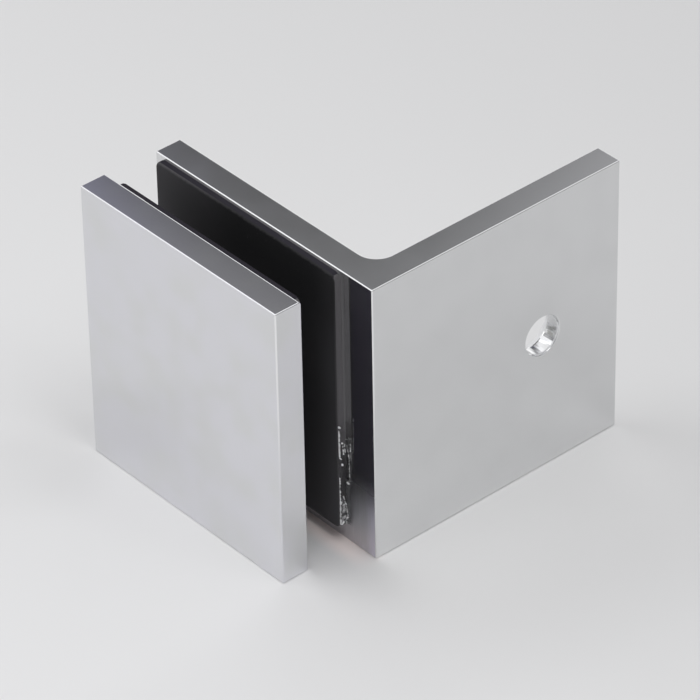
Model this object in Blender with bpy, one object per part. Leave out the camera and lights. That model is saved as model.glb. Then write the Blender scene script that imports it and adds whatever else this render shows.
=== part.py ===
"""A square glass-to-wall bracket: an angle for the wall, a clamp plate, two pads and two screws.

The bracket holds the edge of a glass panel that meets a wall at a right angle. The wall angle
is screwed to the wall through one countersunk hole. The glass stands in the slot between the
angle's glass leg and the clamp plate, with a pad on each side of it. Two countersunk socket
screws go in from the hidden side of the glass leg and draw the plate's posts towards it.

The origin is the centre of the wall face. +X points into the wall, -Y is the clamp plate's
visible side, and +Z is up.
"""

import math

import bmesh
import bpy
from mathutils import Vector

MM = 0.001

# Wall angle
HEIGHT = 50.0 * MM
WALL_LEG = 50.0 * MM
GLASS_LEG = 49.5 * MM
ANGLE_THICKNESS = 4.8 * MM
INNER_FILLET = 3.5 * MM

# Hole for the wall screw, countersunk on the side away from the wall
WALL_HOLE_DIAMETER = 7.0 * MM
WALL_HOLE_FROM_END = 15.75 * MM
WALL_SCREW_HEAD = 10.6 * MM

# Clamp plate, whose end stands a little past the end of the glass leg
PLATE_WIDTH = 45.0 * MM
PLATE_THICKNESS = 5.0 * MM
PLATE_OVERHANG = 0.5 * MM
CLAMP_OPENING = 9.3 * MM
POST_DIAMETER = 10.0 * MM
POST_SEAT_GAP = 0.3 * MM
POST_EDGE = 0.5 * MM

# Pads, each held by an adhesive film
PAD_THICKNESS = 1.2 * MM
PAD_FILM = 0.3 * MM
PAD_SIDE_MARGIN = 1.85 * MM
PAD_END_MARGIN = 1.4 * MM
PAD_CORNER = 1.2 * MM
PAD_EDGE = 0.15 * MM
PAD_HOLE_CLEARANCE = 1.0 * MM
REAR_PAD_OFFSET = (0.25 * MM, 1.2 * MM)
FRONT_PAD_OFFSET = (0.1 * MM, 0.45 * MM)

# Clamp screws: a countersunk head with a hexagon socket, and a thread of one size
SCREW_SPACING = 20.0 * MM
THREAD_DIAMETER = 6.0 * MM
THREAD_GAP = 0.3 * MM
HEAD_DIAMETER = 11.3 * MM
HEAD_RIM = 0.3 * MM
HEAD_RECESS = 0.15 * MM
HEAD_SEAT_GAP = 0.3 * MM
SOCKET_ACROSS_FLATS = 4.0 * MM
SOCKET_DEPTH = 2.4 * MM
SOCKET_CHAMFER = 0.2 * MM
TIP_CHAMFER = 0.8 * MM
TIP_CLEARANCE = 1.55 * MM
BLIND_HOLE_FLOOR = 1.4 * MM
DRILL_POINT_ANGLE = math.radians(118.0)

# Finish of the metal edges
EDGE_ROUND = 0.2 * MM
EDGE_STEPS = 3
HOLE_EDGE = 0.2 * MM

# Fineness of round shapes
FILLET_STEPS = 12
CORNER_STEPS = 5
ROUND_STEPS = 48
SHARP_ANGLE = math.radians(30.0)
CUT_OVERSHOOT = 1.0 * MM

# Places that follow from the sizes
LEG_FRONT_Y = -WALL_LEG / 2
LEG_BACK_Y = LEG_FRONT_Y + ANGLE_THICKNESS
PLATE_BACK_Y = LEG_FRONT_Y - CLAMP_OPENING
PLATE_FRONT_Y = PLATE_BACK_Y - PLATE_THICKNESS
PLATE_LEFT_X = -GLASS_LEG - PLATE_OVERHANG
PLATE_MIDDLE_X = PLATE_LEFT_X + PLATE_WIDTH / 2
WALL_HOLE_Y = WALL_LEG / 2 - WALL_HOLE_FROM_END
POST_LENGTH = CLAMP_OPENING - POST_SEAT_GAP
SCREW_SIDES = {"upper": SCREW_SPACING / 2, "lower": -SCREW_SPACING / 2}
CLEARANCE_RADIUS = THREAD_DIAMETER / 2 + THREAD_GAP
BLIND_HOLE_DEPTH = POST_LENGTH + PLATE_THICKNESS - BLIND_HOLE_FLOOR


def clear_scene():
    """Removes every object of the scene."""
    for old in list(bpy.data.objects):
        bpy.data.objects.remove(old, do_unlink=True)


def principled(name, colour, metallic, roughness):
    """Returns a material with one Principled shader."""
    material = bpy.data.materials.new(name)
    material.use_nodes = True
    shader = material.node_tree.nodes["Principled BSDF"]
    shader.inputs["Base Color"].default_value = (*colour, 1.0)
    shader.inputs["Metallic"].default_value = metallic
    shader.inputs["Roughness"].default_value = roughness
    return material


def mesh_object(name, bm, material=None):
    """Turns a bmesh into an object, with its faces outwards and its round sides smooth."""
    bmesh.ops.recalc_face_normals(bm, faces=bm.faces)
    mesh = bpy.data.meshes.new(name)
    bm.to_mesh(mesh)
    bm.free()
    mesh.shade_smooth()
    mesh.set_sharp_from_angle(angle=SHARP_ANGLE)
    if material:
        mesh.materials.append(material)
    made = bpy.data.objects.new(name, mesh)
    bpy.context.scene.collection.objects.link(made)
    return made


def arc(centre, radius, start, end, steps):
    """Returns the points of an arc in degrees, both ends included."""
    angles = [math.radians(start + (end - start) * i / steps) for i in range(steps + 1)]
    return [(centre[0] + radius * math.cos(a), centre[1] + radius * math.sin(a)) for a in angles]


def round_sharp_edges(bm, radius, steps):
    """Rounds every edge of a solid that is sharper than its smooth stretches."""
    sharp = [edge for edge in bm.edges if edge.calc_face_angle(0.0) > SHARP_ANGLE]
    bmesh.ops.bevel(
        bm, geom=sharp, offset=radius, offset_type="OFFSET", affect="EDGES",
        segments=steps, profile=0.5, material=-1, clamp_overlap=True,
    )


def prism(outline, low, high, along):
    """Extrudes a flat outline from low to high along the Y or Z axis."""
    bm = bmesh.new()
    if along == "Z":
        corners = [bm.verts.new((x, y, low)) for x, y in outline]
        step = Vector((0.0, 0.0, high - low))
    else:
        corners = [bm.verts.new((x, low, z)) for x, z in outline]
        step = Vector((0.0, high - low, 0.0))
    base = bm.faces.new(corners)
    raised = bmesh.ops.extrude_face_region(bm, geom=[base])["geom"]
    top = [v for v in raised if isinstance(v, bmesh.types.BMVert)]
    bmesh.ops.translate(bm, vec=step, verts=top)
    bmesh.ops.recalc_face_normals(bm, faces=bm.faces)
    return bm


def turned(profile, steps=ROUND_STEPS):
    """Spins a profile of (radius, height) points, which starts and ends on the Z axis."""
    bm = bmesh.new()
    line = [bm.verts.new((radius, 0.0, height)) for radius, height in profile]
    edges = [bm.edges.new(pair) for pair in zip(line, line[1:])]
    bmesh.ops.spin(
        bm, geom=line + edges, cent=(0, 0, 0), axis=(0, 0, 1), dvec=(0, 0, 0),
        angle=math.tau, steps=steps, use_merge=True, use_duplicate=False,
    )
    bmesh.ops.remove_doubles(bm, verts=bm.verts, dist=0.001 * MM)
    return bm


def combine(target, tool, operation):
    """Adds a Boolean of another object, which becomes a hidden guide."""
    modifier = target.modifiers.new(tool.name, "BOOLEAN")
    modifier.operation = operation
    modifier.solver = "EXACT"
    modifier.object = tool
    tool.hide_render = True
    tool.display_type = "WIRE"


def even_shading(target):
    """Adds weighted normals, so that large flat faces shade flat up to their rounded edges."""
    modifier = target.modifiers.new("even_shading", "WEIGHTED_NORMAL")
    modifier.keep_sharp = True


def along_y(tool, place, towards):
    """Turns an object made along +Z so that it points to -Y or +Y, with its foot at a place."""
    turn = math.pi / 2 if towards < 0 else -math.pi / 2
    tool.rotation_euler = (turn, 0.0, 0.0)
    tool.location = place


def countersunk_hole(name, radius, mouth_radius, depth):
    """Makes a cutter along +Z, from the plain face at 0 to the countersunk face at depth."""
    over = CUT_OVERSHOOT
    cone = mouth_radius - radius
    return mesh_object(name, turned([
        (0.0, -over),
        (radius + HOLE_EDGE + over, -over),
        (radius, HOLE_EDGE),
        (radius, depth - cone),
        (mouth_radius + over, depth + over),
        (0.0, depth + over),
    ]))


def screw_seat_radius():
    """Returns the countersink's radius at the leg's face, for the head with its gap all round."""
    return HEAD_DIAMETER / 2 + HEAD_RIM + HEAD_RECESS + HEAD_SEAT_GAP * math.sqrt(2.0)


def make_wall_angle(material):
    """Makes the L, with its inner fillet, the wall screw's hole and the clamp screws' holes."""
    inner_x = -ANGLE_THICKNESS
    fillet_x = inner_x - INNER_FILLET
    fillet_y = LEG_BACK_Y + INNER_FILLET
    outline = [
        (-GLASS_LEG, LEG_FRONT_Y),
        (0.0, LEG_FRONT_Y),
        (0.0, WALL_LEG / 2),
        (inner_x, WALL_LEG / 2),
        *arc((fillet_x, fillet_y), INNER_FILLET, 0.0, -90.0, FILLET_STEPS),
        (-GLASS_LEG, LEG_BACK_Y),
    ]
    bm = prism(outline, -HEIGHT / 2, HEIGHT / 2, "Z")
    round_sharp_edges(bm, EDGE_ROUND, EDGE_STEPS)
    angle = mesh_object("wall_angle", bm, material)

    wall_hole = countersunk_hole(
        "wall_hole_cutter", WALL_HOLE_DIAMETER / 2, WALL_SCREW_HEAD / 2, ANGLE_THICKNESS,
    )
    wall_hole.rotation_euler = (0.0, -math.pi / 2, 0.0)
    wall_hole.location = (0.0, WALL_HOLE_Y, 0.0)
    combine(angle, wall_hole, "DIFFERENCE")

    for side, height in SCREW_SIDES.items():
        hole = countersunk_hole(
            f"{side}_clamp_hole_cutter", CLEARANCE_RADIUS, screw_seat_radius(), ANGLE_THICKNESS,
        )
        along_y(hole, (PLATE_MIDDLE_X, LEG_FRONT_Y, height), +1)
        combine(angle, hole, "DIFFERENCE")
    even_shading(angle)


def make_clamp_plate(material):
    """Makes the visible plate, with two posts that carry the tapped blind holes."""
    left, right = PLATE_LEFT_X, PLATE_LEFT_X + PLATE_WIDTH
    outline = [
        (left, -HEIGHT / 2),
        (right, -HEIGHT / 2),
        (right, HEIGHT / 2),
        (left, HEIGHT / 2),
    ]
    bm = prism(outline, PLATE_FRONT_Y, PLATE_BACK_Y, "Y")
    round_sharp_edges(bm, EDGE_ROUND, EDGE_STEPS)
    plate = mesh_object("clamp_plate", bm, material)

    foot = PLATE_THICKNESS / 2
    post_radius = POST_DIAMETER / 2
    hole_radius = THREAD_DIAMETER / 2
    point = hole_radius / math.tan(DRILL_POINT_ANGLE / 2)
    hole_bottom = POST_LENGTH - BLIND_HOLE_DEPTH
    over = CUT_OVERSHOOT
    for side, height in SCREW_SIDES.items():
        place = (PLATE_MIDDLE_X, PLATE_BACK_Y, height)
        post = mesh_object(f"{side}_post_guide", turned([
            (0.0, -foot),
            (post_radius, -foot),
            (post_radius, POST_LENGTH - POST_EDGE),
            (post_radius - POST_EDGE, POST_LENGTH),
            (0.0, POST_LENGTH),
        ]))
        along_y(post, place, +1)
        combine(plate, post, "UNION")
        hole = mesh_object(f"{side}_tapped_hole_cutter", turned([
            (0.0, hole_bottom),
            (hole_radius, hole_bottom + point),
            (hole_radius, POST_LENGTH - HOLE_EDGE),
            (hole_radius + HOLE_EDGE + over, POST_LENGTH + over),
            (0.0, POST_LENGTH + over),
        ]))
        along_y(hole, place, +1)
        combine(plate, hole, "DIFFERENCE")
    even_shading(plate)


def make_pad(name, offset, back_y, material):
    """Makes one pad, whose outline is a little off its two holes, from its back to +Y."""
    half_width = PLATE_WIDTH / 2 - PAD_SIDE_MARGIN
    half_height = HEIGHT / 2 - PAD_END_MARGIN
    middle_x = PLATE_MIDDLE_X + offset[0]
    middle_z = offset[1]
    outline = []
    for side_x, side_z, start in ((1, 1, 0.0), (-1, 1, 90.0), (-1, -1, 180.0), (1, -1, 270.0)):
        corner = (
            middle_x + side_x * (half_width - PAD_CORNER),
            middle_z + side_z * (half_height - PAD_CORNER),
        )
        outline += arc(corner, PAD_CORNER, start, start + 90.0, CORNER_STEPS)
    bm = prism(outline, back_y, back_y + PAD_THICKNESS, "Y")
    round_sharp_edges(bm, PAD_EDGE, 1)
    pad = mesh_object(name, bm, material)

    over = CUT_OVERSHOOT
    hole_radius = POST_DIAMETER / 2 + PAD_HOLE_CLEARANCE
    for side, height in SCREW_SIDES.items():
        hole = mesh_object(f"{name}_{side}_hole_cutter", turned([
            (0.0, -over),
            (hole_radius, -over),
            (hole_radius, PAD_THICKNESS + over),
            (0.0, PAD_THICKNESS + over),
        ]))
        along_y(hole, (PLATE_MIDDLE_X, back_y, height), +1)
        combine(pad, hole, "DIFFERENCE")
    even_shading(pad)


def make_clamp_screw(side, height, material):
    """Makes one countersunk socket screw along -Y, with its origin on its own axis."""
    head = HEAD_DIAMETER / 2
    shank = THREAD_DIAMETER / 2 - THREAD_GAP
    seated_tip = ANGLE_THICKNESS + POST_SEAT_GAP + BLIND_HOLE_DEPTH - TIP_CLEARANCE
    length = seated_tip - HEAD_RECESS
    screw = mesh_object(f"{side}_clamp_screw", turned([
        (0.0, 0.0),
        (head, 0.0),
        (head, HEAD_RIM),
        (shank, HEAD_RIM + head - shank),
        (shank, length - TIP_CHAMFER),
        (shank - TIP_CHAMFER, length),
        (0.0, length),
    ]), material)
    along_y(screw, (PLATE_MIDDLE_X, LEG_BACK_Y - HEAD_RECESS, height), -1)

    corner = SOCKET_ACROSS_FLATS / 2 / math.cos(math.pi / 6)
    socket = mesh_object(f"{side}_socket_cutter", turned([
        (0.0, -CUT_OVERSHOOT),
        (corner, -CUT_OVERSHOOT),
        (corner, SOCKET_DEPTH),
        (0.0, SOCKET_DEPTH + corner * math.tan(math.pi / 6)),
    ], steps=6))
    mouth = mesh_object(f"{side}_socket_mouth_cutter", turned([
        (0.0, -SOCKET_CHAMFER),
        (corner + SOCKET_CHAMFER, -SOCKET_CHAMFER),
        (corner - SOCKET_CHAMFER, SOCKET_CHAMFER),
        (0.0, SOCKET_CHAMFER),
    ]))
    for cutter in (socket, mouth):
        cutter.parent = screw
        combine(screw, cutter, "DIFFERENCE")
    even_shading(screw)


def main():
    clear_scene()
    chrome = principled("chrome plate", (0.80, 0.81, 0.83), 1.0, 0.06)
    plate_chrome = principled("chrome plate, clamp", (0.80, 0.81, 0.83), 1.0, 0.06)
    rear_rubber = principled("rear pad rubber", (0.012, 0.012, 0.014), 0.0, 0.55)
    front_rubber = principled("front pad rubber", (0.012, 0.012, 0.014), 0.0, 0.55)

    make_wall_angle(chrome)
    make_clamp_plate(plate_chrome)
    rear_back = LEG_FRONT_Y - PAD_FILM - PAD_THICKNESS
    make_pad("rear_pad", REAR_PAD_OFFSET, rear_back, rear_rubber)
    make_pad("front_pad", FRONT_PAD_OFFSET, PLATE_BACK_Y + PAD_FILM, front_rubber)
    for side, height in SCREW_SIDES.items():
        steel = principled(f"{side} screw steel", (0.62, 0.62, 0.61), 1.0, 0.28)
        make_clamp_screw(side, height, steel)


main()
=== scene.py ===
"""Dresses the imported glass-to-wall bracket: polished chrome, rubber pads, screws and a plain studio."""

import math

import bmesh
import bpy
from bpy.props import FloatProperty, FloatVectorProperty, PointerProperty
from mathutils import Matrix, Vector, noise


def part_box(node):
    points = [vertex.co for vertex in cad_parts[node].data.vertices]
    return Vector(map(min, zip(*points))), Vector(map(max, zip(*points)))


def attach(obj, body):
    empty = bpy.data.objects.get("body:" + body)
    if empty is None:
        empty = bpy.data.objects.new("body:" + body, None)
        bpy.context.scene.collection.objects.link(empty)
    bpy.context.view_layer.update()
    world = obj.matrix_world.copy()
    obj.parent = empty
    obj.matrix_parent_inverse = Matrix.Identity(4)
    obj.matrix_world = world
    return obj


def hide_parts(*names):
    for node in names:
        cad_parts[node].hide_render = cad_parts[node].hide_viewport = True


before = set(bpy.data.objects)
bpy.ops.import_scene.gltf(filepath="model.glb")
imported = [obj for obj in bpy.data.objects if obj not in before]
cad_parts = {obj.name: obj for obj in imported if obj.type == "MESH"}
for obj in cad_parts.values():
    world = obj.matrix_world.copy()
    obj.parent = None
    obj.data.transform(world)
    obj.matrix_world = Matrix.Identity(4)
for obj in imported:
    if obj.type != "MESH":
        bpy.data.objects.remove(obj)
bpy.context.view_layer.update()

bl_info = {
    "name": "Glass-to-wall bracket",
    "version": (1, 0, 0),
    "blender": (4, 5, 0),
    "location": "3D View > Sidebar > Bracket",
    "description": "Makes the visible pieces of the bracket around its packed frame, and a plain studio",
    "category": "Object",
}

MM = 0.001

# Places on the frame
ANGLE_LOW, ANGLE_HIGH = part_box("wall_angle")
PLATE_LOW, PLATE_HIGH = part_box("clamp_plate")
REAR_LOW, REAR_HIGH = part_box("rear_pad")
FRONT_LOW, FRONT_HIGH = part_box("front_pad")
SCREW_BOXES = {side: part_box(f"{side}_clamp_screw") for side in ("upper", "lower")}
SCREW_X = sum(corner.x for corner in SCREW_BOXES["upper"]) / 2
SCREW_HEIGHTS = {side: (low.z + high.z) / 2 for side, (low, high) in SCREW_BOXES.items()}
LEG_FRONT_Y = ANGLE_LOW.y

# Directions on the piece: into the wall, away from the plate, and up
TO_WALL, TO_BACK, UP = (1.0, 0.0, 0.0), (0.0, 1.0, 0.0), (0.0, 0.0, 1.0)

# Fineness of the meshes
SHARP_ANGLE = math.radians(32.0)
FILLET_STEPS = 20
CORNER_STEPS = 8
METAL_EDGE_STEPS = 5
BACK_EDGE_STEPS = 8
PAD_FACE_EDGE_STEPS = 4
PAD_EDGE_STEPS = 2
RIM_STEPS = 4
TURNED_STEPS = 96
BORE_STEPS = 240
THREAD_STEPS = 48
OVERSHOOT = 1.0 * MM
SAME_PLACE = 0.01 * MM
MERGE_DISTANCE = 0.0002 * MM

# Places of the finishes in the lists of materials
# The upright corner's brighter chrome is a painted highlight.
CORNER_HIGHLIGHT, SLOT_CHROME, BARE_COUNTERSINK = 1, 2, 3
PAD_SIDE, PAD_CUT_END, PAD_FACE = 0, 1, 2


def length(name, description, default):
    """Returns a length in metres that a user can change."""
    return FloatProperty(
        name=name, description=description, default=default, min=0.0, unit="LENGTH", precision=5,
    )


def colour(name, description, default):
    """Returns a colour that a user can change."""
    return FloatVectorProperty(
        name=name, description=description, default=default, min=0.0, max=1.0, size=3, subtype="COLOR",
    )


class BracketSizes(bpy.types.PropertyGroup):
    """Sizes of the visible pieces."""

    leg_thickness: length("Leg thickness", "Thickness of both legs of the angle", 4.8 * MM)
    inner_fillet: length("Inner fillet", "Radius where the legs meet inside", 3.5 * MM)
    edge_round: length("Edge rounding", "Radius of the polished metal edges", 0.2 * MM)
    back_round: length("Back rounding", "Radius of the plate's upper back edge", 0.55 * MM)
    rim_round: length("Rim rounding", "Radius of the plain rims of the holes", 0.16 * MM)
    throat_round: length("Throat rounding", "Rounding between the wall hole and its countersink", 0.5 * MM)
    wall_hole: length("Wall hole", "Diameter of the hole for the wall screw", 7.0 * MM)
    wall_hole_from_end: length("Wall hole place", "From the end of the wall leg to the hole", 15.75 * MM)
    wall_countersink: length("Wall countersink", "Diameter of the wall hole's countersink", 10.6 * MM)
    plate_thickness: length("Plate thickness", "Thickness of the clamp plate", 5.0 * MM)
    post: length("Post", "Diameter of the clamp plate's posts", 10.0 * MM)
    post_edge: length("Post edge", "Width of the chamfer at the end of a post", 0.5 * MM)
    thread_bore: length("Thread bore", "Diameter of the holes in the posts", 6.0 * MM)
    leg_bore: length("Leg bore", "Diameter of the clamp screws' holes in the leg", 6.6 * MM)
    screw_seat: length("Screw seat", "Diameter of the clamp screws' countersinks", 13.05 * MM)
    bore_floor: length("Bore floor", "Metal left between a post's bore and the plate's face", 1.4 * MM)
    pad_corner: length("Pad corner", "Radius of the pads' corners", 1.2 * MM)
    pad_hole: length("Pad hole", "Diameter of the pads' holes round the posts", 12.0 * MM)
    pad_edge: length("Pad edge", "Rounding of the pads' cut edges", 0.12 * MM)
    pad_face_edge: length("Pad face edge", "Rounding of the pads' edges at the glass", 0.45 * MM)
    film_inset: length("Film inset", "From the pad's edge in to its adhesive film", 0.03 * MM)
    thread: length("Thread", "Outer diameter of the screws' thread", 5.84 * MM)
    thread_depth: length("Thread depth", "Depth of the screws' thread", 0.56 * MM)
    pitch: length("Pitch", "Distance between two turns of the thread", 1.0 * MM)
    socket: length("Socket", "Across the flats of the screws' sockets", 4.0 * MM)
    socket_depth: length("Socket depth", "Depth of the screws' sockets", 2.4 * MM)


class BracketColours(bpy.types.PropertyGroup):
    """Colours of the finishes."""

    chrome: colour("Chrome", "Chrome plate", (0.765, 0.77, 0.775))
    chrome_haze: colour("Chrome haze", "Chrome where its polish is hazy", (0.74, 0.745, 0.75))
    plate_chrome: colour("Plate chrome", "The plate's slightly cooler chrome", (0.768, 0.768, 0.800))
    # The violet tint of the chrome beside the rear pad is a painted sheen.
    slot_sheen_chrome: colour("Slot chrome", "Bare chrome beside the rear pad", (0.735, 0.70, 0.85))
    # The chrome beside the pad turns to this darker colour in streaks towards its foot.
    streaked_chrome: colour("Smeared chrome", "Smeared foot of the slot chrome", (0.51, 0.51, 0.54))
    # The upright corners' brighter chrome is a painted highlight, strongest at the top.
    corner_highlight_chrome: colour("Corner chrome", "Chrome of the rubbed upright corners", (0.93, 0.93, 0.935))
    rubber: colour("Rubber", "The pads", (0.029, 0.027, 0.034))
    rubber_patch: colour("Rubber patch", "Faint patches on the pads", (0.036, 0.034, 0.041))
    # Painted light on the rear pad's face: paler where it is painted lit, darker elsewhere.
    painted_lit_rubber: colour("Worn rubber", "Rear pad's face where it is rubbed pale", (0.090, 0.088, 0.093))
    unlit_rubber: colour("Deep rubber", "Rear pad's face where it is clean", (0.017, 0.017, 0.018))
    dust: colour("Dust", "Specks of dust on the pads", (0.10, 0.10, 0.10))
    cut_rubber: colour("Cut rubber", "The pads' cut sides", (0.058, 0.055, 0.059))
    cut_line: colour("Cut line", "Drag lines of the cut sides", (0.085, 0.080, 0.085))
    cut_pore: colour("Cut pore", "Pores of the cut sides", (0.05, 0.05, 0.053))
    film: colour("Film", "Adhesive film", (0.088, 0.084, 0.089))
    film_cell: colour("Film cell", "Darker cells of the adhesive film", (0.070, 0.067, 0.071))
    # Along the loose film's creases this white is partly painted glints.
    clear_film: colour("Clear film", "Loose clear film where it is milky", (0.86, 0.86, 0.87))
    flat_film: colour("Flat film", "Loose clear film where it lies flat", (0.045, 0.045, 0.048))
    countersink: colour("Countersink", "The wall hole's bare countersink", (0.93, 0.93, 0.94))
    countersink_ring: colour("Countersink ring", "Rings of that countersink", (0.80, 0.80, 0.81))
    steel: colour("Steel", "The clamp screws", (0.56, 0.555, 0.54))
    steel_stain: colour("Steel stain", "Stains on the clamp screws", (0.46, 0.455, 0.445))
    floor: colour("Floor", "The studio floor", (0.825, 0.825, 0.825))
    # Painted warm light on the floor under the rear pad.
    painted_warm_light: colour("Warm floor", "The floor under the rear pad", (1.0, 0.90, 0.87))


# Shaders


class Socket:
    """An output of a node. A sum or product of sockets adds its Math nodes."""

    def __init__(self, nodes, output):
        self.nodes = nodes
        self.output = output

    def __add__(self, other):
        return self.nodes.maths("ADD", self, other)

    def __radd__(self, other):
        return self.nodes.maths("ADD", other, self)

    def __sub__(self, other):
        return self.nodes.maths("SUBTRACT", self, other)

    def __rsub__(self, other):
        return self.nodes.maths("SUBTRACT", other, self)

    def __mul__(self, other):
        return self.nodes.maths("MULTIPLY", self, other)

    def __rmul__(self, other):
        return self.nodes.maths("MULTIPLY", other, self)


class Nodes:
    """A node tree being built."""

    def __init__(self, owner):
        owner.use_nodes = True
        self.tree = owner.node_tree

    def add(self, kind, settings=None, values=None, output=0):
        """Adds a node: first its settings, then the values or links of its sockets."""
        node = self.tree.nodes.new(kind)
        for key, value in (settings or {}).items():
            setattr(node, key, value)
        for key, value in (values or {}).items():
            self.feed(node.inputs[key], value)
        return Socket(self, node.outputs[output])

    def feed(self, target, value):
        """Links a socket to another, or sets its value."""
        if isinstance(value, Socket):
            self.tree.links.new(value.output, target)
        elif target.type == "RGBA":
            target.default_value = (*value, 1.0)
        else:
            target.default_value = value

    def maths(self, operation, *terms):
        """Adds one Math node."""
        return self.add("ShaderNodeMath", {"operation": operation}, dict(enumerate(terms)))

    def place(self):
        """Returns the point on the piece, in metres."""
        return self.add("ShaderNodeTexCoord", output="Object")

    def stretched(self, place, scale, centre=(0.0, 0.0, 0.0)):
        """Scales a pattern by axis, about a centre."""
        shift = tuple(-c * s for c, s in zip(centre, scale))
        return self.add("ShaderNodeMapping", values={"Vector": place, "Location": shift, "Scale": scale})

    def cloud(self, place, scale, detail=2.0, roughness=0.5):
        """Returns soft noise from 0 to 1. Its patches are about 1 / scale metres wide."""
        return self.add("ShaderNodeTexNoise", values={
            "Vector": place, "Scale": scale, "Detail": detail, "Roughness": roughness,
        })

    def range(self, value, low, high, to_low=0.0, to_high=1.0):
        """Maps low to high onto another range, smoothly and clamped."""
        return self.add("ShaderNodeMapRange", {"interpolation_type": "SMOOTHSTEP"}, {
            "Value": value, "From Min": low, "From Max": high, "To Min": to_low, "To Max": to_high,
        })

    def along(self, place, axis):
        """Returns how far a point or a direction reaches along an axis."""
        terms = {0: place, 1: axis}
        return self.add("ShaderNodeVectorMath", {"operation": "DOT_PRODUCT"}, terms, output="Value")

    def patch(self, place, *limits):
        """Returns 1 in a soft patch. Each limit is an axis, where the patch starts and where it is full."""
        share = 1.0
        for axis, start, full in limits:
            share = share * self.range(self.along(place, axis), start, full)
        return share

    def between(self, share, first, second):
        """Mixes two colours."""
        return self.add("ShaderNodeMix", {"data_type": "RGBA"}, {0: share, 6: first, 7: second}, output=2)

    def bump(self, height, distance, strength=1.0, below=None):
        """Returns a normal bent by a height, on top of another normal."""
        values = {"Strength": strength, "Distance": distance, "Height": height}
        if below:
            values["Normal"] = below
        return self.add("ShaderNodeBump", values=values)


class Finish(Nodes):
    """A material being made."""

    def __init__(self, name):
        self.material = bpy.data.materials.new(name)
        super().__init__(self.material)
        self.shader = self.tree.nodes["Principled BSDF"]

    def set(self, **values):
        """Sets or links the shader's sockets, named with _ for a space."""
        for key, value in values.items():
            self.feed(self.shader.inputs[key.replace("_", " ")], value)
        return self.material


def polished_chrome(name, clean, hazy, haze_share=1.0, fading=None, streaked=None):
    """Chrome plate: long faint waves of the polish and a little uneven haze.

    Towards its foot it may fade to another colour. Beside the pad it may turn duller, darker and rougher
    in streaks towards its foot, and is plain where the pad hides it.
    """
    finish = Finish(name)
    place = finish.place()
    haze = finish.range(finish.cloud(place, 160.0, detail=3.0), 0.35, 0.75)
    grain = finish.cloud(place, 5200.0)
    waves = finish.bump(finish.cloud(place, 55.0, detail=1.0), 0.012 * MM)
    height = finish.along(place, UP)
    shown = finish.between(haze * haze_share, clean, hazy)
    roughness = 0.085 + haze * 0.025 + grain * 0.015
    # The corner's painted highlight fades to the plain chrome towards the foot.
    if fading:
        shown = finish.between(finish.range(height, 16 * MM, -16 * MM), shown, fading)
    if streaked:
        to_wall = finish.along(place, TO_WALL)
        shown = finish.between(finish.range(to_wall, -4.9 * MM, -4.5 * MM), hazy, shown)
        streaks = finish.cloud(finish.stretched(place, (2600.0, 1.0, 260.0)), 1.0)
        dull = finish.range(height, -6 * MM, -13 * MM)
        dull = dull * finish.range(to_wall, -0.4 * MM, -3.0 * MM, 0.5, 1.0)
        shown = finish.between(dull * (0.6 + streaks * 0.8), shown, streaked)
        roughness = roughness + finish.range(height, -6 * MM, -18 * MM, 0.0, 0.26)
    return finish.set(
        Base_Color=shown,
        Metallic=0.955,
        Roughness=roughness,
        Normal=finish.bump(grain, 0.0002 * MM, below=waves),
    )


def chrome_finishes(piece, colours, chrome):
    """Lists the chrome of a piece and the brighter chrome of its upright corner, a painted highlight that
    fades towards the foot.
    """
    corner = colours.corner_highlight_chrome
    return [
        polished_chrome(f"{piece} chrome", chrome, colours.chrome_haze),
        polished_chrome(f"{piece} corner chrome", corner, corner, fading=chrome),
    ]


# Painted light on the rear pad's face, paler towards its ends and its bottom: axis, where it starts, where
# it is full, strength
PAD_PAINTED_LIGHT = (
    (TO_WALL, -27 * MM, -49 * MM, 0.75),
    (TO_WALL, -12 * MM, -7 * MM, 0.12),
    (UP, 24 * MM, 6 * MM, 0.48),
    (UP, 4 * MM, -22 * MM, 0.45),
)


def pad_rubber(name, colours, light_painted=False):
    """Moulded black rubber: a fine matt grain and faint patches. The rear pad's face has painted light:
    paler to the low and outer edges and along its top edge.
    """
    finish = Finish(name)
    place = finish.place()
    grain = finish.cloud(place, 7000.0, detail=3.0, roughness=0.6)
    rubbed = finish.range(finish.cloud(place, 130.0, detail=3.0), 0.45, 0.75)
    dust = finish.range(finish.cloud(place, 2600.0, detail=1.0), 0.70, 0.78)
    face = finish.between(rubbed * 0.35, colours.rubber, colours.rubber_patch)
    # Painted light: the rear pad's face grows paler along its rounded top edge, towards its ends and
    # towards its bottom.
    if light_painted:
        ragged_height = finish.along(place, UP) + finish.cloud(place, 1500.0) * (0.8 * MM)
        painted_light = finish.range(ragged_height, 24.8 * MM, 25.1 * MM, 0.0, 0.2)
        for axis, start, full, strength in PAD_PAINTED_LIGHT:
            painted_light = painted_light + finish.range(finish.along(place, axis), start, full, 0.0, strength)
        face = finish.between(painted_light, colours.unlit_rubber, colours.painted_lit_rubber)
    return finish.set(
        Base_Color=finish.between(dust * 0.25, face, colours.dust),
        Roughness=0.74 + grain * 0.14 - rubbed * 0.08,
        Specular_IOR_Level=0.03,
        Normal=finish.bump(grain, 0.01 * MM, strength=0.6),
    )


def cut_rubber(name, colours):
    """The pads' cut sides: greyer, with fine drag lines along the cut."""
    finish = Finish(name)
    place = finish.place()
    drag = finish.cloud(finish.stretched(place, (60.0, 6500.0, 60.0)), 1.0, detail=3.0, roughness=0.6)
    pores = finish.range(finish.cloud(place, 3800.0), 0.55, 0.7)
    side = finish.between(drag, colours.cut_rubber, colours.cut_line)
    return finish.set(
        Base_Color=finish.between(pores * 0.4, side, colours.cut_pore),
        Roughness=0.62 - drag * 0.12,
        Normal=finish.bump(drag, 0.04 * MM, strength=0.7),
    )


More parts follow.
